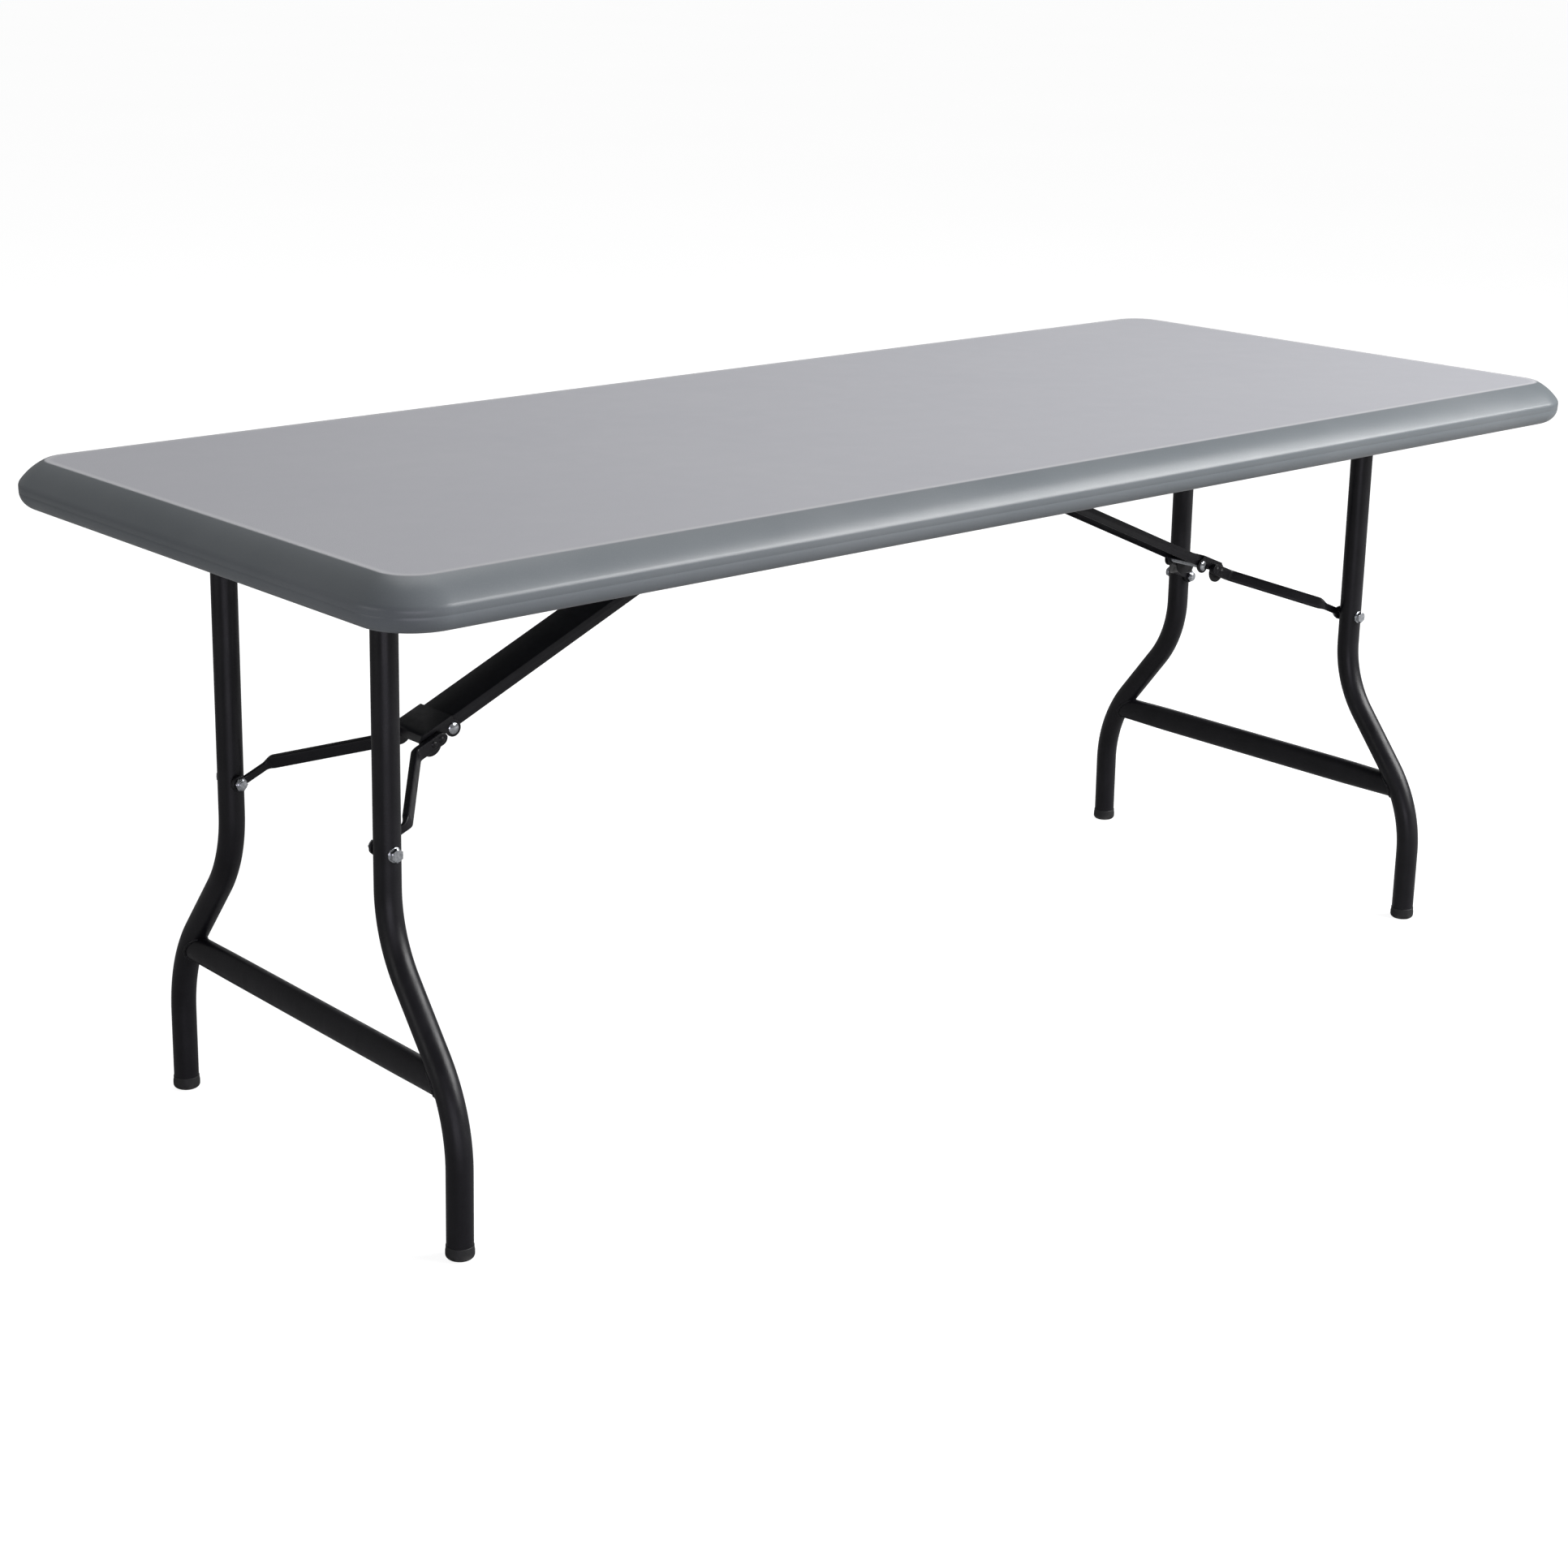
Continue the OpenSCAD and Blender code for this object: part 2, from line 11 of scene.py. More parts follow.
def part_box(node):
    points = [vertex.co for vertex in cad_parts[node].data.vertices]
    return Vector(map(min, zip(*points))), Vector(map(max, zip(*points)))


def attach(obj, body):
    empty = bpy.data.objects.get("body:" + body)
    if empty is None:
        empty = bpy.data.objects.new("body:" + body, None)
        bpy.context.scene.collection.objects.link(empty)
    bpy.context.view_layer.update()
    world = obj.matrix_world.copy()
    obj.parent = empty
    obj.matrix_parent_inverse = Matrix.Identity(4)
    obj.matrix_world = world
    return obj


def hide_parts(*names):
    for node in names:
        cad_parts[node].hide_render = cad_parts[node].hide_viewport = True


MM = 0.001

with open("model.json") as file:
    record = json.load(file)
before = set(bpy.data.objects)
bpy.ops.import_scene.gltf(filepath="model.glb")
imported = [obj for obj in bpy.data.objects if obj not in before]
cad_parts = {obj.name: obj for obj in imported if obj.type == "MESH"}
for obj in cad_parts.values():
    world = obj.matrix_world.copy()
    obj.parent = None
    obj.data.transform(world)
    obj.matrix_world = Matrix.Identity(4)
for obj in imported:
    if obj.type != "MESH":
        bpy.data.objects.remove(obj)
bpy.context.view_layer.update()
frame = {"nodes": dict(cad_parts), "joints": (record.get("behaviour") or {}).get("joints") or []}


# ---- places taken from the frame ----

def joint_at(name):
    """Point on a joint's axis at rest."""
    found = [joint for joint in frame["joints"] if joint["name"] == name]
    return Vector(found[0]["pos_m"])


def node_centre(name):
    """Middle of a node's box at rest."""
    low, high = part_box(name)
    return (low + high) / 2


top_low, top_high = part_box("table_top")
HALF_LENGTH = top_high.x
HALF_WIDTH = top_high.y
TOP_Z = top_high.z
LIP_Z = top_low.z
PANEL_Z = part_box("side_rail_back")[1].z

# The right-hand, back quarter. The other three are its mirror images.
PIVOT = joint_at("leg_right_fold")
BRACE = joint_at("brace_right_swing")
KNEE = joint_at("knee_right_fold")
BOLT = node_centre("arm_nuts_right")
CROSSBAR = node_centre("crossbar_right")
TILT = math.atan2(BOLT.x - PIVOT.x, PIVOT.z - BOLT.z)
YOKE_DIP = math.atan2(KNEE.z - BOLT.z, BOLT.x - KNEE.x)
YOKE_LENGTH = math.hypot(BOLT.x - KNEE.x, KNEE.z - BOLT.z)
BOLT_DOWN = (PIVOT.z - BOLT.z) / math.cos(TILT)
CROSSBAR_DOWN = (PIVOT.z - CROSSBAR.z) / math.cos(TILT)
LEG_LENGTH = PIVOT.z / math.cos(TILT)

SIDES = {"left": -1, "right": 1}
EDGES = {"front": -1, "back": 1}


def turned_frame(origin, angle):
    """A local frame with its origin at a point, turned about Y."""
    return Matrix.Translation((origin.x, 0, origin.z)) @ Matrix.Rotation(angle, 4, "Y")


ON_LEG = turned_frame(PIVOT, -TILT)
ON_YOKE = turned_frame(KNEE, YOKE_DIP)


# ---- mesh helpers ----

SHARP_ANGLE = math.radians(38)          # shaded as a crease above this
SOFTENED_ANGLE = math.radians(30)       # rounded by softened() above this
LEVEL_ANGLE = math.radians(0.4)         # taken as one flat face below this
MERGE_DISTANCE = 0.002 * MM


def mesh_object(name, bm):
    """Makes an object of a bmesh: smooth faces, with creases kept at sharp edges."""
    bmesh.ops.recalc_face_normals(bm, faces=bm.faces)
    for face in bm.faces:
        face.smooth = True
    for edge in bm.edges:
        edge.smooth = len(edge.link_faces) == 2 and edge.calc_face_angle(0) < SHARP_ANGLE
    mesh = bpy.data.meshes.new(name)
    bm.to_mesh(mesh)
    bm.free()
    obj = bpy.data.objects.new(name, mesh)
    bpy.context.scene.collection.objects.link(obj)
    return obj


def place(bm, local, side=1, edge=1):
    """Moves a right-hand, back shape out of its local frame, to its side and edge."""
    bmesh.ops.transform(bm, matrix=Matrix.Diagonal((side, edge, 1, 1)) @ local, verts=bm.verts)


def join(bm, part):
    """Adds a finished part to a mesh."""
    mesh = bpy.data.meshes.new("part")
    part.to_mesh(mesh)
    part.free()
    bm.from_mesh(mesh)
    bpy.data.meshes.remove(mesh)


def skin(bm, a, b):
    """Faces between two loops of equal length."""
    for i in range(len(a)):
        j = (i + 1) % len(a)
        bm.faces.new((a[i], a[j], b[j], b[i]))


def add_rings(bm, rings, first_cap=True, last_cap=True):
    """Skins rings of equal length, and caps the ends."""
    loops = [[bm.verts.new(point) for point in ring] for ring in rings]
    for a, b in zip(loops, loops[1:]):
        skin(bm, a, b)
    if first_cap:
        bm.faces.new(list(reversed(loops[0])))
    if last_cap:
        bm.faces.new(loops[-1])
    return loops


def circle(radius, steps):
    """Points of a circle in a plane, as pairs."""
    angles = [2 * math.pi * i / steps for i in range(steps)]
    return [(radius * math.cos(a), radius * math.sin(a)) for a in angles]


def arc(centre, radius, start, end, steps):
    """Points (across, up) of an arc; angles in degrees from straight up, turning outwards."""
    points = []
    for i in range(steps + 1):
        angle = math.radians(start + (end - start) * i / steps)
        points.append((centre[0] + radius * math.sin(angle), centre[1] + radius * math.cos(angle)))
    return points


def squared_oval(half_a, half_b, power, steps):
    """Points of an outline between an ellipse, power 1, and a rectangle, power 0, as pairs."""
    points = []
    for i in range(steps):
        angle = 2 * math.pi * (i + 0.5) / steps
        c, s = math.cos(angle), math.sin(angle)
        a = half_a * math.copysign(abs(c) ** power, c)
        b = half_b * math.copysign(abs(s) ** power, s)
        points.append((a, b))
    return points


def smoothstep(t):
    """Eases from 0 to 1, level at both ends."""
    t = min(max(t, 0.0), 1.0)
    return t * t * (3 - 2 * t)


def turned_y(bm, profile, centre=(0, 0), across=0.0, steps=48):
    """A turned shape about an axis along Y: profile is (radius, y). With across, its radius
    is also cut to a hexagon of that width across flats."""
    def ring(radius, y):
        points = []
        for i in range(steps):
            angle = 2 * math.pi * i / steps
            flat = (angle + math.pi / 6) % (math.pi / 3) - math.pi / 6
            r = min(radius, across / 2 / math.cos(flat)) if across else radius
            points.append((centre[0] + r * math.cos(angle), y, centre[1] + r * math.sin(angle)))
        return points
    add_rings(bm, [ring(radius, y) for radius, y in profile])


def rounded_ring(half_x, half_y, radius, z, steps):
    """A rounded rectangle round the origin, level at z."""
    points = []
    for quarter, (sx, sy) in enumerate(((1, 1), (-1, 1), (-1, -1), (1, -1))):
        for i in range(steps + 1):
            angle = math.pi / 2 * (quarter + i / steps)
            points.append((
                sx * (half_x - radius) + radius * math.cos(angle),
                sy * (half_y - radius) + radius * math.sin(angle),
                z,
            ))
    return points


# ---- materials ----

# Linear colours
# The rim's grey is painted shade: the same plastic as the flat, given a darker colour
RIM_SHADE_GREY = (0.138, 0.155, 0.168)
FLAT_GREY = (0.370, 0.372, 0.401)
CLOUD_GREY = (0.46, 0.46, 0.47)
FLECK_GREY = (0.24, 0.24, 0.25)
# grey of the painted highlight line along the flat's edge
EDGE_HIGHLIGHT_GREY = (0.52, 0.52, 0.53)
COAT_DARK = (0.005, 0.0046, 0.0068)
COAT_LIGHT = (0.010, 0.0094, 0.0125)
COAT_SPECKLE = (0.027, 0.026, 0.031)
ZINC_DARK = (0.40, 0.42, 0.45)
ZINC_LIGHT = (0.66, 0.67, 0.70)
FOOT_BLACK = (0.012, 0.012, 0.013)
FOOT_RUBBED = (0.10, 0.098, 0.095)
NYLON_CLEAN = (0.60, 0.60, 0.55)
NYLON_STAINED = (0.34, 0.33, 0.30)


def new_material(name):
    """A node material, its tree and its shader."""
    material = bpy.data.materials.new(name)
    material.use_nodes = True
    tree = material.node_tree
    return material, tree, tree.nodes["Principled BSDF"]


def object_point(tree, stretch):
    """Coordinates that stay on the piece as it moves, in metres."""
    point = tree.nodes.new("ShaderNodeTexCoord")
    mapping = tree.nodes.new("ShaderNodeMapping")
    mapping.inputs["Scale"].default_value = stretch
    tree.links.new(point.outputs["Object"], mapping.inputs["Vector"])
    return mapping.outputs["Vector"]


def noise(tree, scale, detail, stretch=(1, 1, 1)):
    """Cloudy noise around 0.5, of about so many waves to the metre."""
    node = tree.nodes.new("ShaderNodeTexNoise")
    node.inputs["Scale"].default_value = scale
    node.inputs["Detail"].default_value = detail
    tree.links.new(object_point(tree, stretch), node.inputs["Vector"])
    return node.outputs["Fac"]


def remap(tree, value, low, high, to_low, to_high):
    """Turns the range low to high into to_low to to_high."""
    node = tree.nodes.new("ShaderNodeMapRange")
    node.inputs["From Min"].default_value = low
    node.inputs["From Max"].default_value = high
    node.inputs["To Min"].default_value = to_low
    node.inputs["To Max"].default_value = to_high
    tree.links.new(value, node.inputs["Value"])
    return node.outputs["Result"]


def combine(tree, operation, a, b):
    """A maths node; b is a socket or a number."""
    node = tree.nodes.new("ShaderNodeMath")
    node.operation = operation
    tree.links.new(a, node.inputs[0])
    if isinstance(b, (int, float)):
        node.inputs[1].default_value = b
    else:
        tree.links.new(b, node.inputs[1])
    return node.outputs["Value"]


def blend_colour(tree, factor, a, b):
    """Mixes colours; each is a triple or a socket."""
    node = tree.nodes.new("ShaderNodeMix")
    node.data_type = "RGBA"
    tree.links.new(factor, node.inputs["Factor"])
    colour_inputs = [s for s in node.inputs if s.type == "RGBA"]
    for socket, colour in zip(colour_inputs, (a, b)):
        if isinstance(colour, tuple):
            socket.default_value = (*colour, 1)
        else:
            tree.links.new(colour, socket)
    return [s for s in node.outputs if s.type == "RGBA"][0]


def painted_mask(tree, name):
    """A value stored on the mesh's points."""
    node = tree.nodes.new("ShaderNodeAttribute")
    node.attribute_name = name
    return node.outputs["Fac"]


def bump(tree, height, strength, distance, under=None):
    """A normal from a height, laid over another normal if one is given; distance in metres."""
    node = tree.nodes.new("ShaderNodeBump")
    node.inputs["Distance"].default_value = distance
    if isinstance(strength, (int, float)):
        node.inputs["Strength"].default_value = strength
    else:
        tree.links.new(strength, node.inputs["Strength"])
    tree.links.new(height, node.inputs["Height"])
    if under is not None:
        tree.links.new(under, node.inputs["Normal"])
    return node.outputs["Normal"]


def grey_polyethylene():
    """Moulded top: pebble grain on the flat, smoother on the rim, with painted shade darkening the rim and
    a painted highlight line along the flat's edge.
    """
    material, tree, shader = new_material("grey_polyethylene")
    flat = painted_mask(tree, "flat")
    wear_and_edge_highlight = painted_mask(tree, "wear_and_edge_highlight")
    clouds = noise(tree, 5, 4)
    flecks = noise(tree, 900, 2)
    # painted shade: the rim gets a darker grey than the flat
    base = blend_colour(tree, flat, RIM_SHADE_GREY, FLAT_GREY)
    base = blend_colour(tree, remap(tree, clouds, 0.3, 0.7, 0, 0.10), base, CLOUD_GREY)
    base = blend_colour(tree, remap(tree, flecks, 0.45, 0.75, 0, 0.16), base, FLECK_GREY)
    # painted highlight: a lighter grey line along the flat's edge
    base = blend_colour(tree, combine(tree, "MULTIPLY", wear_and_edge_highlight, 0.55), base, EDGE_HIGHLIGHT_GREY)
    tree.links.new(base, shader.inputs["Base Color"])
    scuffs = noise(tree, 26, 4)
    satin = remap(tree, scuffs, 0.3, 0.7, 0.29, 0.34)
    grained = remap(tree, scuffs, 0.3, 0.7, 0.68, 0.78)
    rough = tree.nodes.new("ShaderNodeMix")
    tree.links.new(flat, rough.inputs["Factor"])
    tree.links.new(satin, rough.inputs["A"])
    tree.links.new(grained, rough.inputs["B"])
    tree.links.new(rough.outputs["Result"], shader.inputs["Roughness"])
    wave = bump(tree, noise(tree, 9, 2), 0.35, 0.6 * MM)
    grain_strength = remap(tree, flat, 0, 1, 0, 0.42)
    grain = bump(tree, noise(tree, 850, 1), grain_strength, 0.3 * MM, wave)
    tree.links.new(grain, shader.inputs["Normal"])
    shader.inputs["Specular IOR Level"].default_value = 0.36
    return material


def black_powder_coat():
    """Satin powder coat: orange peel, fine speckle and dusty scuffs."""
    material, tree, shader = new_material("black_powder_coat")
    clouds = noise(tree, 30, 4)
    speckle = noise(tree, 1500, 2)
    base = blend_colour(tree, remap(tree, clouds, 0.35, 0.75, 0, 1), COAT_DARK, COAT_LIGHT)
    base = blend_colour(tree, remap(tree, speckle, 0.62, 0.78, 0, 0.5), base, COAT_SPECKLE)
    tree.links.new(base, shader.inputs["Base Color"])
    scuffs = noise(tree, 90, 5, (1, 1, 0.25))
    tree.links.new(remap(tree, scuffs, 0.35, 0.75, 0.32, 0.46), shader.inputs["Roughness"])
    peel = bump(tree, noise(tree, 420, 3), 0.5, 0.16 * MM)
    tree.links.new(peel, shader.inputs["Normal"])
    shader.inputs["Specular IOR Level"].default_value = 0.32
    return material


def bright_zinc():
    """Bright zinc plate: clear metal with a faint cloudy spangle and rubbed streaks."""
    material, tree, shader = new_material("bright_zinc")
    cloud = noise(tree, 350, 4)
    base = blend_colour(tree, remap(tree, cloud, 0.35, 0.7, 0, 1), ZINC_DARK, ZINC_LIGHT)
    tree.links.new(base, shader.inputs["Base Color"])
    streaks = noise(tree, 700, 3, (1, 0.2, 1))
    tree.links.new(remap(tree, streaks, 0.3, 0.7, 0.12, 0.26), shader.inputs["Roughness"])
    tree.links.new(bump(tree, streaks, 0.25, 0.06 * MM), shader.inputs["Normal"])
    shader.inputs["Metallic"].default_value = 1.0
    return material


def black_foot_plastic():
    """Soft black plastic, rubbed grey near the floor."""
    material, tree, shader = new_material("black_foot_plastic")
    rubbed = painted_mask(tree, "wear_and_edge_highlight")
    patches = noise(tree, 160, 4)
    wear = combine(tree, "MULTIPLY", rubbed, remap(tree, patches, 0.4, 0.65, 0, 1))
    base = blend_colour(tree, wear, FOOT_BLACK, FOOT_RUBBED)
    tree.links.new(base, shader.inputs["Base Color"])
    tree.links.new(remap(tree, patches, 0.3, 0.7, 0.42, 0.62), shader.inputs["Roughness"])
    tree.links.new(bump(tree, noise(tree, 1800, 2), 0.3, 0.12 * MM), shader.inputs["Normal"])
    return material


def bush_nylon():
    """Natural nylon, slightly greased where the tube turns."""
    material, tree, shader = new_material("bush_nylon")
    stain = noise(tree, 220, 4)
    base = blend_colour(tree, remap(tree, stain, 0.45, 0.7, 0, 0.6), NYLON_CLEAN, NYLON_STAINED)
    tree.links.new(base, shader.inputs["Base Color"])
    tree.links.new(remap(tree, stain, 0.3, 0.7, 0.30, 0.48), shader.inputs["Roughness"])
    tree.links.new(bump(tree, noise(tree, 1200, 2), 0.2, 0.08 * MM), shader.inputs["Normal"])
    shader.inputs["Subsurface Weight"].default_value = 0.08
    return material


MATERIALS = {
    "grey_polyethylene": grey_polyethylene(),
    "black_powder_coat": black_powder_coat(),
    "bright_zinc": bright_zinc(),
    "black_foot_plastic": black_foot_plastic(),
    "bush_nylon": bush_nylon(),
}


def dress(obj, slot):
    """Gives a piece the one material of a slot."""
    obj.data.materials.clear()
    obj.data.materials.append(MATERIALS[slot])


def stand_for(obj, slot, body, *nodes):
    """Dresses a piece, hangs it on its body and hides the CAD nodes it stands for."""
    dress(obj, slot)
    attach(obj, body)
    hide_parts(*nodes)


def softened(node, slot, body, edge_radius, segments=2):
    """A copy of a CAD node with rounded edges."""
    bm = bmesh.new()
    bm.from_mesh(frame["nodes"][node].data)
    bmesh.ops.remove_doubles(bm, verts=bm.verts, dist=MERGE_DISTANCE)
    bmesh.ops.dissolve_limit(bm, angle_limit=LEVEL_ANGLE, verts=bm.verts, edges=bm.edges)
    sharp = [e for e in bm.edges if len(e.link_faces) == 2 and e.calc_face_angle(0) > SOFTENED_ANGLE]
    bmesh.ops.bevel(
        bm, geom=sharp, offset=edge_radius, offset_type="OFFSET", affect="EDGES",
        segments=segments, profile=0.5, clamp_overlap=True,
    )
    stand_for(mesh_object(node + "_soft", bm), slot, body, node)


# ---- table top ----

CORNER_RADIUS = 66 * MM
BEVEL_WIDTH = 29 * MM
BEVEL_START = 24                # slope of the convex edge at the flat, degrees
BEVEL_END = 52                  # and at the nose
EDGE_BLEND = 4 * MM             # radius between the flat and that edge
NOSE_RADIUS = 9 * MM
LIP_RADIUS = 18 * MM
LIP_INSET = 26 * MM
LIP_INNER_RADIUS = 3 * MM
RECESS_INSET = 30 * MM
RECESS_RADIUS = 4 * MM          # where the rim's inner wall meets the panel
CORNER_STEPS = 28
PARTING_DEPTH = 0.25 * MM       # of the mould's parting line
PARTING_TOP = 0.7 * MM          # its edges, above the start of the lip
PARTING_FLOOR = (0.3 * MM, -0.1 * MM)
FLAT_BORDERS = (9 * MM, 2.5 * MM)       # narrow strips that keep the flat shading flat
GROOVE_HALF_WIDTH = 43 * MM
GROOVE_HALF_LENGTH = 686 * MM
GROOVE_CORNER = 14 * MM
GROOVE_BLEND = 3 * MM
GROOVE_TOP = TOP_Z - 11 * MM
CUP_COLUMNS = range(-4, 5)
CUP_PITCH = 175 * MM
CUP_ROWS = (-215 * MM, -110 * MM, 110 * MM, 215 * MM)
CUP_RADIUS = 13 * MM
CUP_BLEND = 2.5 * MM
CUP_DRAFT = 2 * MM
CUP_TOP = PANEL_Z + 14.6 * MM
MOUTH_BORDER = 1.5 * MM         # the same strips round the groove and the cups
FLAT_FADE = 3 * MM              # over which the rim's finish and painted shade turn into the flat's
EDGE_HIGHLIGHT_WIDTH = 4 * MM             # half width of the painted highlight line at the flat's edge


def rim_profile():
    """(inset, z) from the flat, over the rim and back up inside to the panel."""
    start, end = math.radians(BEVEL_START), math.radians(BEVEL_END)
    bevel_radius = (BEVEL_WIDTH - NOSE_RADIUS * (1 - math.sin(end))) / (math.sin(end) - math.sin(start))
    bevel_centre = (-BEVEL_WIDTH - bevel_radius * math.sin(start), TOP_Z - bevel_radius * math.cos(start))
    nose_z = bevel_centre[1] + (bevel_radius - NOSE_RADIUS) * math.cos(end)
    flat_edge = BEVEL_WIDTH + EDGE_BLEND * math.tan(start / 2)
    lip_start = LIP_Z + LIP_RADIUS
    outward = [(-flat_edge - border, TOP_Z) for border in FLAT_BORDERS]
    outward += arc((-flat_edge, TOP_Z - EDGE_BLEND), EDGE_BLEND, 0, BEVEL_START, 5)
    outward += arc(bevel_centre, bevel_radius, BEVEL_START + 1.5, BEVEL_END, 12)
    outward += arc((-NOSE_RADIUS, nose_z), NOSE_RADIUS, BEVEL_END + 4, 90, 10)
    outward.append((0, lip_start + PARTING_TOP))
    outward += [(-PARTING_DEPTH, lip_start + height) for height in PARTING_FLOOR]
    outward += arc((-LIP_RADIUS, lip_start), LIP_RADIUS, 93, 180, 14)
    lip_centre = (LIP_INNER_RADIUS - LIP_INSET, LIP_Z + LIP_INNER_RADIUS)
    outward += arc(lip_centre, LIP_INNER_RADIUS, 180, 262, 6)
    recess_centre = (-RECESS_INSET - RECESS_RADIUS, PANEL_Z - RECESS_RADIUS)
    outward += arc(recess_centre, RECESS_RADIUS, 82, 0, 6)
    outward.append((-RECESS_INSET - 2 * RECESS_RADIUS, PANEL_Z))
    return [(-across, z) for across, z in outward]


def mouth_rings(shape, depth_z, blend, draft):
    """Rings of a moulded hollow from the panel plane up to its ceiling. shape(grow, z)
    gives the ring grown outwards by an amount. The first and last keep the flats shading flat."""
    rings = [shape(blend + MOUTH_BORDER, PANEL_Z)]
    rings += [shape(across, z) for across, z in arc((blend, PANEL_Z + blend), blend, 180, 270, 5)]
    rings += [shape(across, z) for across, z in arc((-draft - blend, depth_z - blend), blend, 90, 0, 5)]
    rings.append(shape(-draft - blend - MOUTH_BORDER, depth_z))
    return rings


def table_top():
    """The moulded panel: rim, groove and cups, with the underside filled in between them."""
    bm = bmesh.new()
    rings = [
        rounded_ring(HALF_LENGTH - inset, HALF_WIDTH - inset, CORNER_RADIUS - inset, z, CORNER_STEPS)
        for inset, z in rim_profile()
    ]
    loops = add_rings(bm, rings, last_cap=False)
    mouths = [loops[-1]]

    def groove_ring(grow, z):
        return rounded_ring(GROOVE_HALF_LENGTH + grow, GROOVE_HALF_WIDTH + grow, GROOVE_CORNER + grow, z, 8)

    groove = mouth_rings(groove_ring, GROOVE_TOP, GROOVE_BLEND, 0)
    mouths.append(add_rings(bm, groove, first_cap=False)[0])
    for column in CUP_COLUMNS:
        for row in CUP_ROWS:
            def cup_ring(grow, z, x=column * CUP_PITCH, y=row):
                return [(x + a, y + b, z) for a, b in circle(CUP_RADIUS + grow, 32)]
            cup = mouth_rings(cup_ring, CUP_TOP, CUP_BLEND, CUP_DRAFT)
            mouths.append(add_rings(bm, cup, first_cap=False)[0])
    edges = []
    for loop in mouths:
        for i, vert in enumerate(loop):
            edges.append(bm.edges.get((vert, loop[(i + 1) % len(loop)])))
    bmesh.ops.triangle_fill(bm, use_beauty=True, edges=edges)
    obj = mesh_object("moulded_top", bm)
    paint_top(obj)
    stand_for(obj, "grey_polyethylene", "table", "table_top")


def edge_distance(point):
    """How far inside the top's outline a point is, in plan."""
    x = abs(point.x) - (HALF_LENGTH - CORNER_RADIUS)
    y = abs(point.y) - (HALF_WIDTH - CORNER_RADIUS)
    outside = math.hypot(max(x, 0), max(y, 0)) + min(max(x, y), 0)
    return CORNER_RADIUS - outside


def paint_top(obj):
    """Stores where the grained flat is, which also bounds the rim's painted shade, and the painted
    highlight line round its edge.
    """
    flat = obj.data.attributes.new("flat", "FLOAT", "POINT")
    wear_and_edge_highlight = obj.data.attributes.new("wear_and_edge_highlight", "FLOAT", "POINT")
    for i, vert in enumerate(obj.data.vertices):
        if vert.co.z < TOP_Z - FLAT_FADE:
            continue
        inside = edge_distance(vert.co) - BEVEL_WIDTH
        flat.data[i].value = smoothstep((inside + FLAT_FADE / 3) / FLAT_FADE)
        wear_and_edge_highlight.data[i].value = max(0.0, 1 - abs(inside - FLAT_FADE) / EDGE_HIGHLIGHT_WIDTH)


# ---- leg frames ----

TUBE_RADIUS = (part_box("pivot_tube_right")[1].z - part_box("pivot_tube_right")[0].z) / 2
TUBE_STEPS = 40
TUBE_END_GAP = 6 * MM           # from the pivot's axis and from the floor to the tube's ends
UPPER_SPREAD = 152 * MM
FOOT_SPREAD = 275 * MM
UPPER_BEND = 150 * MM           # radii of the two bends
LOWER_BEND = 180 * MM
UPPER_BEND_HEIGHT = 313 * MM    # where the straight lines would meet, above the floor
LOWER_BEND_HEIGHT = 157 * MM
BEND_STEPS = 20
CAP_WALL = 1.1 * MM
CAP_RADIUS = TUBE_RADIUS + CAP_WALL
CAP_HEIGHT = 15 * MM
CAP_TREAD = 5 * MM              # radius round its foot
CAP_COLLAR = 6 * MM             # height of the collar at its mouth
CAP_WORN_HEIGHT = 7 * MM
CROSSBAR_MIDDLE = (10 * MM, 17 * MM)    # half thickness and half depth of the flattened tube
CROSSBAR_END = (12.4 * MM, 15.4 * MM)
CROSSBAR_SWELL = 100 * MM       # length over which it changes
CROSSBAR_SQUARENESS = 0.85      # power for squared_oval
CROSSBAR_STEPS = 20             # sections in each half
CROSSBAR_END_GAP = 3 * MM       # short of the leg's centre line, inside its wall
CAP_SINK = 0.4 * MM             # the tilted cap goes down by this, then it is cut level at the floor
WELD_RADIUS = 1.9 * MM
WELD_STEPS = 96
SADDLE_DROP = 0.6 * MM          # of the bead's centre line below the cross tube
JOINT_INSET = 0.4 * MM          # of the bead's centre line from the leg's surface


def leg_line():
    """Centre line of a leg in its own frame: (y, z, angle of the line from straight down)."""
    upper = (PIVOT.z - UPPER_BEND_HEIGHT) / math.cos(TILT)
    lower = (PIVOT.z - LOWER_BEND_HEIGHT) / math.cos(TILT)
    angle = math.atan2(FOOT_SPREAD - UPPER_SPREAD, lower - upper)
    first = upper - UPPER_BEND * math.tan(angle / 2)
    last = lower + LOWER_BEND * math.tan(angle / 2)
    line = [(UPPER_SPREAD, -TUBE_END_GAP, 0), (UPPER_SPREAD, -first * 0.6, 0)]
    for i in range(BEND_STEPS + 1):
        a = angle * i / BEND_STEPS
        line.append((UPPER_SPREAD + UPPER_BEND * (1 - math.cos(a)), -first - UPPER_BEND * math.sin(a), a))
    for i in range(BEND_STEPS + 1):
        a = angle * (1 - i / BEND_STEPS)
        line.append((FOOT_SPREAD - LOWER_BEND * (1 - math.cos(a)), -last + LOWER_BEND * math.sin(a), a))
    line.append((FOOT_SPREAD, -LEG_LENGTH + TUBE_END_GAP, 0))
    return line


def leg_point_at(down):
    """(y, angle) of the leg's centre line at a distance down it."""
    line = leg_line()
    for (y0, z0, a0), (y1, z1, a1) in zip(line, line[1:]):
        if z1 <= -down <= z0:
            t = (-down - z0) / (z1 - z0)
            return y0 + (y1 - y0) * t, a0 + (a1 - a0) * t
    return FOOT_SPREAD, 0.0


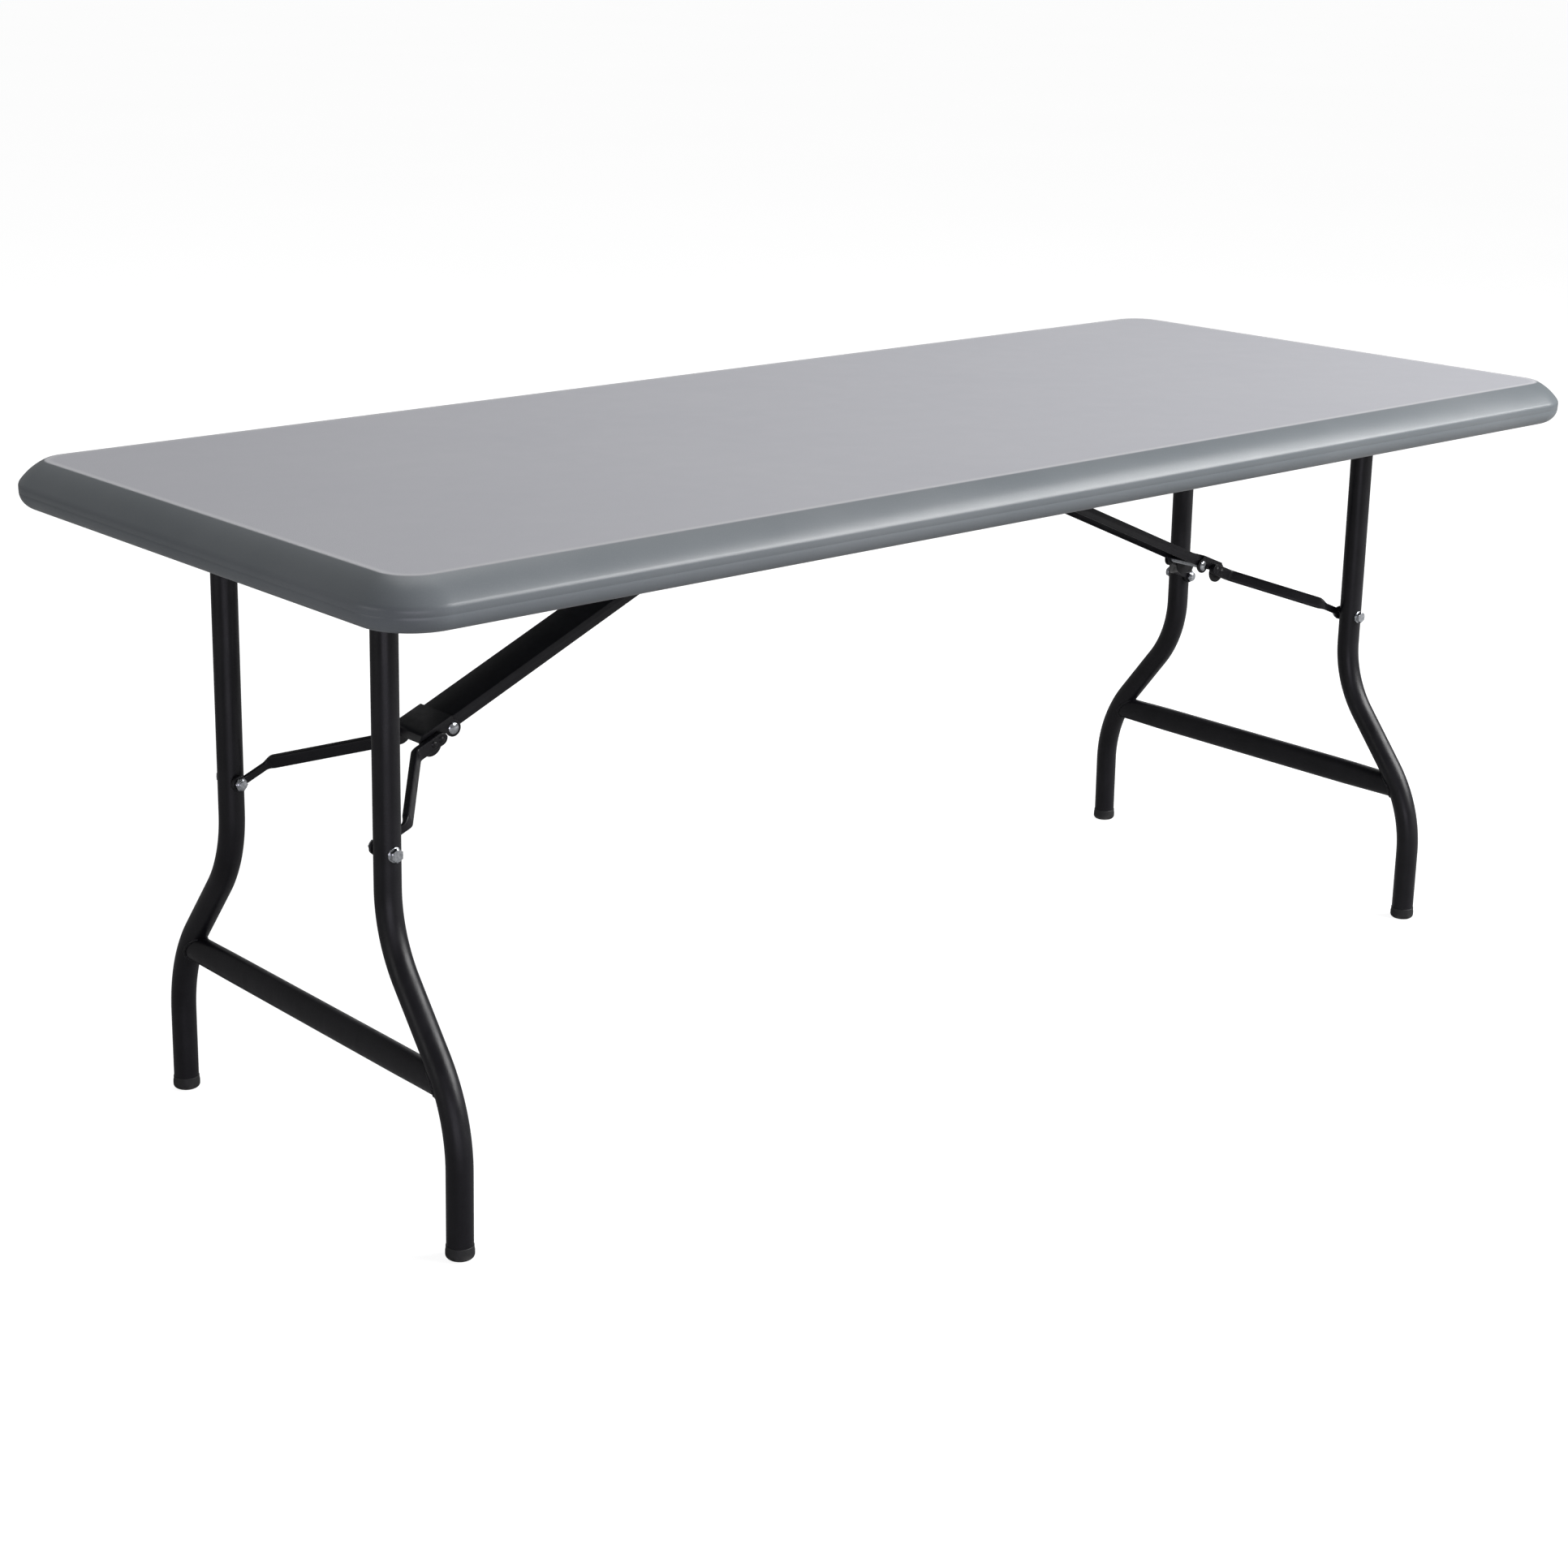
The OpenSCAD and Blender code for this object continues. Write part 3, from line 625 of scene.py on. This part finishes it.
def add_weld(bm, curve):
    """A rippled weld bead along a closed curve of points."""
    count = len(curve)
    middle = sum((Vector(p) for p in curve), Vector()) / count
    rings = []
    for i in range(count):
        here = Vector(curve[i])
        ahead = Vector(curve[(i + 1) % count]) - Vector(curve[i - 1])
        out = (here - middle).normalized()
        out = (out - ahead.normalized() * out.dot(ahead.normalized())).normalized()
        up = ahead.normalized().cross(out)
        ripple = 0.10 * math.sin(2 * math.pi * i / 4) + 0.08 * math.sin(i * 0.9)
        r = WELD_RADIUS * (1 + ripple)
        rings.append([here + out * a + up * b for a, b in circle(r, 10)])
    loops = add_rings(bm, rings, False, False)
    skin(bm, loops[-1], loops[0])


def leg(side_name, edge_name):
    """A bent leg tube with the weld round its top."""
    bm = bmesh.new()
    rings = []
    for y, z, angle in leg_line():
        across = Vector((0, math.cos(angle), math.sin(angle)))
        rings.append([Vector((a, y, z)) + across * b for a, b in circle(TUBE_RADIUS, TUBE_STEPS)])
    add_rings(bm, rings)
    saddle = []
    for a, b in circle(TUBE_RADIUS, WELD_STEPS):
        saddle.append((a, UPPER_SPREAD + b, -math.sqrt(max(TUBE_RADIUS ** 2 - a * a, 0)) - SADDLE_DROP))
    add_weld(bm, saddle)
    place(bm, ON_LEG, SIDES[side_name], EDGES[edge_name])
    obj = mesh_object(f"leg_tube_{side_name}_{edge_name}", bm)
    stand_for(obj, "black_powder_coat", f"leg_frame_{side_name}", f"leg_{side_name}_{edge_name}")


def crossbar_section(from_end, steps):
    """The crossbar's outline at a distance from its end: flattened more towards the middle."""
    t = smoothstep(from_end / CROSSBAR_SWELL)
    half_x, half_z = (end + (middle - end) * t for end, middle in zip(CROSSBAR_END, CROSSBAR_MIDDLE))
    return squared_oval(half_x, half_z, CROSSBAR_SQUARENESS, steps)


def crossbar(side_name):
    """The flattened tube between a frame's legs, with the welds at its ends."""
    bm = bmesh.new()
    reach, angle = leg_point_at(CROSSBAR_DOWN)
    half = reach - CROSSBAR_END_GAP
    rings = []
    for i in range(-CROSSBAR_STEPS, CROSSBAR_STEPS + 1):
        y = half * i / CROSSBAR_STEPS
        rings.append([(a, y, -CROSSBAR_DOWN + b) for a, b in crossbar_section(half - abs(y), 48)])
    add_rings(bm, rings)
    for end in (-1, 1):
        joint = []
        for a, b in crossbar_section(0, WELD_STEPS):
            inner = -math.sqrt(max(TUBE_RADIUS ** 2 - a * a, 0))
            y = reach + (inner - b * math.sin(angle)) / math.cos(angle)
            joint.append((a, end * (y - JOINT_INSET), -CROSSBAR_DOWN + b))
        add_weld(bm, joint)
    place(bm, ON_LEG, SIDES[side_name])
    obj = mesh_object(f"crossbar_tube_{side_name}", bm)
    stand_for(obj, "black_powder_coat", f"leg_frame_{side_name}", f"crossbar_{side_name}")


def foot_cap(side_name, edge_name):
    """A moulded cap with a collar at its mouth, a waist and a rounded tread."""
    tread = CAP_RADIUS - CAP_TREAD
    profile = [(4 * MM, 1.2 * MM), (4.6 * MM, 0), (8 * MM, 0), (tread, 0)]
    profile += arc((tread, CAP_TREAD), CAP_TREAD, 180, 90, 8)
    profile += [(CAP_RADIUS, CAP_HEIGHT - CAP_COLLAR), (CAP_RADIUS - 0.5 * MM, CAP_HEIGHT - CAP_COLLAR / 2)]
    profile += arc((CAP_RADIUS - CAP_WALL, CAP_HEIGHT - 0.6 * MM), 0.6 * MM, 90, 0, 4)
    profile += [(TUBE_RADIUS + 0.15 * MM, CAP_HEIGHT), (TUBE_RADIUS - 0.3 * MM, CAP_HEIGHT - 1.5 * MM)]
    bm = bmesh.new()
    base = -LEG_LENGTH - CAP_SINK
    rings = [[(a, FOOT_SPREAD + b, base + z) for a, b in circle(r, 56)] for r, z in profile]
    add_rings(bm, rings)
    place(bm, ON_LEG, SIDES[side_name], EDGES[edge_name])
    for vert in bm.verts:
        vert.co.z = max(vert.co.z, 0)
    obj = mesh_object(f"foot_{side_name}_{edge_name}", bm)
    wear_and_edge_highlight = obj.data.attributes.new("wear_and_edge_highlight", "FLOAT", "POINT")
    for i, vert in enumerate(obj.data.vertices):
        wear_and_edge_highlight.data[i].value = 1 - smoothstep(vert.co.z / CAP_WORN_HEIGHT)
    stand_for(obj, "black_foot_plastic", f"leg_frame_{side_name}", f"foot_cap_{side_name}_{edge_name}")


# ---- fasteners ----

HEX_ACROSS = 13 * MM            # across the flats
HEX_STEP = 0.55                 # how steep the chamfer of its faces is
FLANGE_RADIUS = 8.2 * MM        # the bolt head's washer face
FLANGE_HEIGHT = 0.3 * MM
HEAD_HEIGHT = 4.9 * MM
NUT_HEIGHT = 4.1 * MM
BOLT_RADIUS = 4 * MM
THREAD_RADIUS = 3.9 * MM
THREAD_DEPTH = 0.35 * MM
THREAD_STEP = 0.25 * MM         # half the pitch
THREAD_STEPS = 6
THREAD_END = 6.4 * MM           # how far it reaches past the arm
PIN_HEAD_RADIUS = 6.5 * MM
PIN_HEAD_EDGE = 0.7 * MM
RIVET_RADIUS = 2.5 * MM
RIVET_HEAD_RADIUS = 4.2 * MM
RIVET_DISTANCES = (22 * MM, 32 * MM)    # from the knee
DOME_HEIGHT = 1.6 * MM          # of the pins' and rivets' heads
DOME_STEPS = 6
SHEET = 2 * MM                  # thickness of the pressed steel
YOKE_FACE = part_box("yoke_plate_right")[1].y
CLEVIS_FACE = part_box("brace_clevis_right")[1].y
ARM_INNER_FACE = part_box("yoke_arm_right_back")[0].y
ARM_OUTER_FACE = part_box("yoke_arm_right_back")[1].y
ARM_RISE = 1.5 * MM             # of the arm above the line from the knee to the bolt
BAR_THICKNESS = 8 * MM
BAR_HEIGHT = 15 * MM
BAR_SQUARENESS = 0.4            # power for squared_oval
END_THICKNESS = 4.5 * MM        # of the arm's flattened end at the leg
NECK_HEIGHT = 9 * MM
EYE_RADIUS = 9 * MM


def dome(radius, height, y):
    """Profile (radius, y) of a domed head that starts at y and rises by height."""
    sphere = (radius * radius + height * height) / (2 * height)
    limit = math.asin(min(radius / sphere, 1))
    points = []
    for i in range(DOME_STEPS + 1):
        a = limit * (1 - i / (DOME_STEPS + 0.5))
        points.append((sphere * math.sin(a), y + height - sphere * (1 - math.cos(a))))
    return points


def chamfered(y, height):
    """Profile round a hexagon's corners with both faces chamfered; turned_y cuts the flats."""
    corner = HEX_ACROSS / 2 / math.cos(math.pi / 6)
    face = HEX_ACROSS / 2 * 0.97
    step = (corner - face) * HEX_STEP
    return [(face, y), (corner, y + step), (corner, y + height - step), (face, y + height)]


def leg_bolts(side_name):
    """Hexagon bolt heads with a flange, on the outer side of each leg."""
    bm = bmesh.new()
    at = (0, -BOLT_DOWN)
    face = UPPER_SPREAD + TUBE_RADIUS
    flange = [
        (FLANGE_RADIUS - 0.3 * MM, face - 0.9 * MM),
        (FLANGE_RADIUS, face - 0.5 * MM),
        (FLANGE_RADIUS - 0.3 * MM, face + FLANGE_HEIGHT),
        (FLANGE_RADIUS - 1.3 * MM, face + FLANGE_HEIGHT + 0.5 * MM),
    ]
    for edge in EDGES.values():
        part = bmesh.new()
        turned_y(part, [(BOLT_RADIUS, face - 2 * TUBE_RADIUS + 0.3 * MM), (BOLT_RADIUS, face)], at)
        turned_y(part, flange, at)
        turned_y(part, chamfered(face + FLANGE_HEIGHT, HEAD_HEIGHT), at, HEX_ACROSS)
        place(part, ON_LEG, SIDES[side_name], edge)
        join(bm, part)
    obj = mesh_object(f"bolt_heads_{side_name}", bm)
    stand_for(obj, "bright_zinc", f"leg_frame_{side_name}", f"leg_bolts_{side_name}")


def arm_nuts(side_name):
    """Lock nuts inside the thinned arm ends, with the bolt's thread end showing."""
    bm = bmesh.new()
    at = (YOKE_LENGTH, 0)
    face = ARM_OUTER_FACE - END_THICKNESS
    collar = [
        (4.4 * MM, face - 5.3 * MM),
        (5.3 * MM, face - 5.2 * MM),
        (5.9 * MM, face - 4.7 * MM),
        (6 * MM, face - 3.9 * MM),
    ]
    tip = face - THREAD_END
    thread = [(THREAD_RADIUS - 2 * THREAD_DEPTH, tip)]
    for i in range(THREAD_STEPS):
        thread.append((THREAD_RADIUS - (i % 2) * THREAD_DEPTH, tip + 0.1 * MM + i * THREAD_STEP))
    for edge in EDGES.values():
        part = bmesh.new()
        turned_y(part, [(BOLT_RADIUS, face), (BOLT_RADIUS, ARM_OUTER_FACE)], at)
        turned_y(part, chamfered(face - NUT_HEIGHT, NUT_HEIGHT), at, HEX_ACROSS)
        turned_y(part, collar, at)
        turned_y(part, thread, at)
        place(part, ON_YOKE, SIDES[side_name], edge)
        join(bm, part)
    obj = mesh_object(f"lock_nuts_{side_name}", bm)
    stand_for(obj, "bright_zinc", f"yoke_{side_name}", f"arm_nuts_{side_name}")


def headed_pin(name, node, body, local, side, face):
    """A pin along Y with a domed head at each end."""
    bm = bmesh.new()
    turned_y(bm, [(BOLT_RADIUS, -face), (BOLT_RADIUS, face)])
    head = [(PIN_HEAD_RADIUS, face), (PIN_HEAD_RADIUS, face + PIN_HEAD_EDGE)]
    head += dome(PIN_HEAD_RADIUS - 0.1 * MM, DOME_HEIGHT, face + PIN_HEAD_EDGE + 0.1 * MM)
    for end in (-1, 1):
        part = bmesh.new()
        turned_y(part, head)
        bmesh.ops.transform(part, matrix=Matrix.Diagonal((1, end, 1, 1)), verts=part.verts)
        join(bm, part)
    place(bm, local, side)
    obj = mesh_object(name, bm)
    stand_for(obj, "bright_zinc", body, node)


def arm_rivet_heads(side_name):
    """Domed rivets through the arms and the knuckle plate."""
    bm = bmesh.new()
    inner = YOKE_FACE - SHEET
    seat = ARM_INNER_FACE + BAR_THICKNESS
    head = [(RIVET_HEAD_RADIUS, seat)] + dome(RIVET_HEAD_RADIUS, DOME_HEIGHT, seat)
    for edge in EDGES.values():
        for x in RIVET_DISTANCES:
            part = bmesh.new()
            turned_y(part, [(RIVET_RADIUS, inner), (RIVET_RADIUS, seat)], (x, ARM_RISE))
            turned_y(part, head, (x, ARM_RISE), steps=32)
            place(part, ON_YOKE, SIDES[side_name], edge)
            join(bm, part)
    obj = mesh_object(f"rivet_heads_{side_name}", bm)
    stand_for(obj, "black_powder_coat", f"yoke_{side_name}", f"arm_rivets_{side_name}")


# ---- brace arms ----

TAB_LENGTH = 14 * MM            # from the knee to the arm's rounded start
FIRST_BEND = 55 * MM            # distances from the knee to the corners of the two bends
LAST_BEND = 140 * MM
BEND_REACH = 5 * MM             # from each corner to where its bend begins
EYE_END = 0.985 * math.pi       # the eye's last section, just short of its tip


def straight(a, b, steps):
    """Stations from a to b, without a."""
    return [tuple(p + (q - p) * i / steps for p, q in zip(a, b)) for i in range(1, steps + 1)]


def bend(a, corner, b, steps):
    """Stations round a bend, from a to b; the line turns at corner while the section changes."""
    stations = []
    for i in range(1, steps + 1):
        t = i / steps
        x, y = ((1 - t) ** 2 * p + 2 * t * (1 - t) * c + t * t * q for p, c, q in zip(a, corner, b))
        rest = [p + (q - p) * smoothstep(t) for p, q in zip(a[2:], b[2:])]
        stations.append((x, y, *rest))
    return stations


def arm_stations():
    """Stations (x, y, z, half thickness, half height) along an arm, from the knuckle to the bolt's eye."""
    half, tall = BAR_THICKNESS / 2, BAR_HEIGHT / 2
    thin, neck = END_THICKNESS / 2, NECK_HEIGHT / 2
    tab_y = ARM_INNER_FACE + half
    corner = Vector((FIRST_BEND, tab_y))
    end_corner = Vector((LAST_BEND, ARM_OUTER_FACE - half))
    along = (end_corner - corner).normalized()
    stations = []
    for i in range(1, 9):
        a = math.pi / 2 * i / 8
        stations.append((TAB_LENGTH + tall * (1 - math.cos(a)), tab_y, ARM_RISE, half, tall * math.sin(a)))
    stations += straight(stations[-1], (FIRST_BEND - BEND_REACH, tab_y, ARM_RISE, half, tall), 3)
    stations += bend(stations[-1], corner, (*(corner + along * BEND_REACH), ARM_RISE, half, tall), 8)
    stations += straight(stations[-1], (*(end_corner - along * BEND_REACH), ARM_RISE, half, tall), 4)
    end_y = ARM_OUTER_FACE - thin
    after = LAST_BEND + 1.6 * BEND_REACH
    stations += bend(stations[-1], (LAST_BEND + 1 * MM, end_y), (after, end_y, 0, thin, neck), 12)
    eye_start = YOKE_LENGTH - math.sqrt(EYE_RADIUS ** 2 - neck ** 2)
    stations += straight(stations[-1], (eye_start, end_y, 0, thin, neck), 3)
    first = math.asin(neck / EYE_RADIUS)
    for i in range(1, 20):
        a = first + (EYE_END - first) * i / 19
        stations.append((YOKE_LENGTH - EYE_RADIUS * math.cos(a), end_y, 0, thin, EYE_RADIUS * math.sin(a)))
    return stations


def yoke_arm(side_name, edge_name):
    """A bent bar, thinned at the leg to a neck and an eye."""
    stations = arm_stations()
    rings = []
    for i, (x, y, z, half_y, half_z) in enumerate(stations):
        before, after = stations[max(i - 1, 0)], stations[min(i + 1, len(stations) - 1)]
        heading = math.atan2(after[1] - before[1], after[0] - before[0])
        across = Vector((-math.sin(heading), math.cos(heading), 0))
        section = squared_oval(half_y, half_z, BAR_SQUARENESS, 48)
        ring = [Vector((x, y, z)) + across * a + Vector((0, 0, b)) for a, b in section]
        for point in ring:
            point.y = min(max(point.y, ARM_INNER_FACE), ARM_OUTER_FACE)
        rings.append(ring)
    bm = bmesh.new()
    add_rings(bm, rings)
    place(bm, ON_YOKE, SIDES[side_name], EDGES[edge_name])
    obj = mesh_object(f"bent_arm_{side_name}_{edge_name}", bm)
    stand_for(obj, "black_powder_coat", f"yoke_{side_name}", f"yoke_arm_{side_name}_{edge_name}")


# ---- assembly ----

table_top()
for edge_name in EDGES:
    softened(f"side_rail_{edge_name}", "black_powder_coat", "table", 0.5 * MM)
softened("centre_crossmember", "black_powder_coat", "table", 0.6 * MM)
softened("pivot_bushes", "bush_nylon", "table", 0.5 * MM)
softened("panel_screws", "bright_zinc", "table", 0.9 * MM, 3)
softened("clevis_rivets", "bright_zinc", "table", 0.7 * MM, 3)
for side_name, side in SIDES.items():
    for edge_name in EDGES:
        leg(side_name, edge_name)
        foot_cap(side_name, edge_name)
        yoke_arm(side_name, edge_name)
    crossbar(side_name)
    dress(frame["nodes"][f"pivot_tube_{side_name}"], "black_powder_coat")
    leg_bolts(side_name)
    arm_nuts(side_name)
    arm_rivet_heads(side_name)
    softened(f"brace_clevis_{side_name}", "black_powder_coat", "table", 0.5 * MM)
    softened(f"brace_channel_{side_name}", "black_powder_coat", f"brace_{side_name}", 0.9 * MM, 3)
    softened(f"yoke_plate_{side_name}", "black_powder_coat", f"yoke_{side_name}", 0.7 * MM, 3)
    headed_pin(f"knee_rivet_{side_name}", f"knee_pin_{side_name}", f"yoke_{side_name}",
               ON_YOKE, side, YOKE_FACE)
    headed_pin(f"clevis_pin_{side_name}", f"brace_pin_{side_name}", "table",
               turned_frame(BRACE, 0), side, CLEVIS_FACE)


# ---- floor, light and camera ----

WHITE = (1, 1, 1)
COOL = (0.90, 0.87, 1.0)
FLOOR_HALF_SIZE = 60
FLOOR_GAP = 0.5 * MM            # from the floor up to the feet
CAMERA_AT = (-2.212, -2.354, 1.314)
CAMERA_ANGLES = (-41.03, 19.39, 0.74)   # azimuth, elevation and roll, degrees
CAMERA_LENS = 62.9
CAMERA_SHIFT = (0.0218, 0.0488)
CAMERA_FAR = 200


def seen_or_lit(tree, seen, lit):
    """One value for what the camera sees directly, another for the light that reaches the table."""
    path = tree.nodes.new("ShaderNodeLightPath")
    return remap(tree, path.outputs["Is Camera Ray"], 0, 1, lit, seen)


def pale_floor():
    """A pale floor that the camera sees nearly white."""
    bm = bmesh.new()
    bmesh.ops.create_grid(bm, x_segments=1, y_segments=1, size=FLOOR_HALF_SIZE)
    bmesh.ops.translate(bm, verts=bm.verts, vec=(0, 0, -FLOOR_GAP))
    floor = mesh_object("floor", bm)
    material, tree, shader = new_material("pale_floor")
    tone = remap(tree, noise(tree, 0.6, 2), 0.3, 0.7, 0.30, 0.32)
    tree.links.new(blend_colour(tree, tone, (0, 0, 0), (1, 1, 1)), shader.inputs["Base Color"])
    shader.inputs["Roughness"].default_value = 0.9
    shader.inputs["Specular IOR Level"].default_value = 0.1
    shader.inputs["Emission Color"].default_value = (*WHITE, 1)
    tree.links.new(seen_or_lit(tree, 0.90, 0.03), shader.inputs["Emission Strength"])
    floor.data.materials.append(material)


def softbox(name, place_at, aim, size, power, colour=WHITE):
    """A rectangular light that faces a point."""
    light = bpy.data.lights.new(name, "AREA")
    light.shape = "RECTANGLE"
    light.size, light.size_y = size
    light.energy = power
    light.color = colour
    lamp = bpy.data.objects.new(name, light)
    bpy.context.scene.collection.objects.link(lamp)
    lamp.location = place_at
    lamp.rotation_euler = (Vector(aim) - Vector(place_at)).to_track_quat("-Z", "Y").to_euler()


def studio_light():
    """A pale world and soft lights: a large one at the front right and weaker ones round the table."""
    world = bpy.data.worlds.new("studio")
    world.use_nodes = True
    tree = world.node_tree
    background = tree.nodes["Background"]
    background.inputs["Color"].default_value = (*WHITE, 1)
    tree.links.new(seen_or_lit(tree, 0.97, 0.22), background.inputs["Strength"])
    bpy.context.scene.world = world
    softbox("window", (2.7, -2.85, 2.8), (0.0, -0.3, 0.7), (3.4, 2.5), 300)
    softbox("front_low", (-2.0, -2.3, 0.3), (-0.6, -0.1, 0.3), (2.0, 0.6), 11, COOL)
    softbox("overhead", (0.5, 1.3, 4.7), (0.1, 0, 0.7), (3.0, 3.0), 60)
    softbox("left_fill", (-4.6, 0.6, 0.8), (-0.9, 0, 0.7), (3.0, 0.8), 14)
    softbox("back_right", (4.2, 3.8, 2.0), (0.2, 0, 0.7), (4.0, 1.6), 20)


def camera():
    """The camera stands to the front left and looks slightly down."""
    azimuth, elevation, roll = (math.radians(angle) for angle in CAMERA_ANGLES)
    data = bpy.data.cameras.new("camera")
    data.sensor_width = 36
    data.lens = CAMERA_LENS
    data.shift_x, data.shift_y = CAMERA_SHIFT
    data.clip_end = CAMERA_FAR
    level = Vector((math.sin(azimuth), -math.cos(azimuth), 0))
    back = level * math.cos(elevation) + Vector((0, 0, math.sin(elevation)))
    right = Vector((math.cos(azimuth), math.sin(azimuth), 0))
    up = back.cross(right)
    tilted_right = right * math.cos(roll) + up * math.sin(roll)
    tilted_up = up * math.cos(roll) - right * math.sin(roll)
    turn = Matrix((tilted_right, tilted_up, back)).transposed().to_4x4()
    obj = bpy.data.objects.new("camera", data)
    obj.matrix_world = Matrix.Translation(CAMERA_AT) @ turn
    bpy.context.scene.collection.objects.link(obj)
    bpy.context.scene.camera = obj


pale_floor()
studio_light()
camera()
bpy.context.scene.view_settings.view_transform = "Standard"
bpy.context.scene.view_settings.look = "None"
